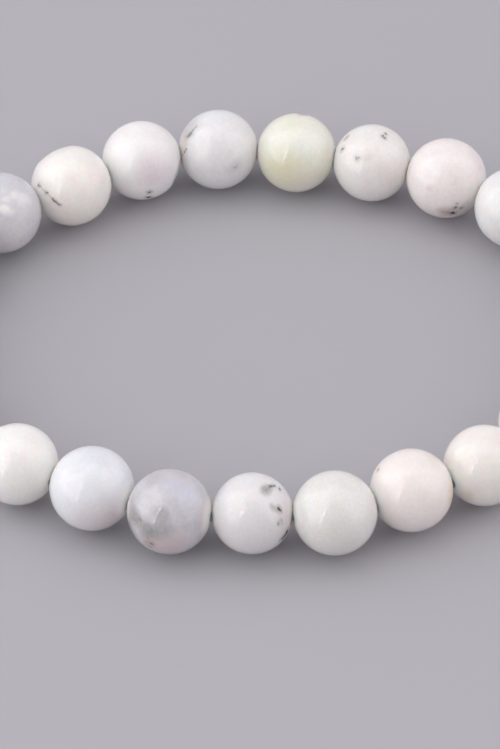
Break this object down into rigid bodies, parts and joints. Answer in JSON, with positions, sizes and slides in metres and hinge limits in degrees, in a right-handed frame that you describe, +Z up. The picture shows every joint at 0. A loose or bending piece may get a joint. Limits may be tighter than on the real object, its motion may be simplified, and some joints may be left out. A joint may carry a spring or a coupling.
{
  "type": "beaded bracelet",
  "caption": "Stretch bracelet: round polished white opal beads drilled through and strung edge to edge on clear elastic, lying flat in an oval.",
  "frame": {"origin": "under the middle of the loop, on the surface that the beads rest on", "axes": "+Z up out of the flat loop, +X along the longer way across the oval, with the beads numbered counter-clockwise from the middle of the -Y side"},
  "size_m": [0.0742, 0.058, 0.0083],
  "materials": {
    "opal_milk": "gloss",
    "opal_ivory": "gloss",
    "opal_blush": "gloss",
    "opal_straw": "gloss",
    "opal_sage": "gloss",
    "opal_blue": "gloss",
    "opal_smoke": "gloss",
    "clear_elastic": "satin"
  },
  "bodies": {
    "root": {"bead_01": "opal_milk", "bead_02": "opal_sage", "bead_03": "opal_ivory", "bead_04": "opal_ivory", "bead_05": "opal_sage", "bead_06": "opal_blush", "bead_07": "opal_milk", "bead_08": "opal_blue", "bead_09": "opal_milk", "bead_10": "opal_blush", "bead_11": "opal_blush", "bead_12": "opal_straw", "bead_13": "opal_milk", "bead_14": "opal_blush", "bead_15": "opal_ivory", "bead_16": "opal_blue", "bead_17": "opal_smoke", "bead_18": "opal_milk", "bead_19": "opal_ivory", "bead_20": "opal_milk", "bead_21": "opal_ivory", "bead_22": "opal_blue", "bead_23": "opal_smoke", "thread": "clear_elastic"}
  },
  "joints": []
}
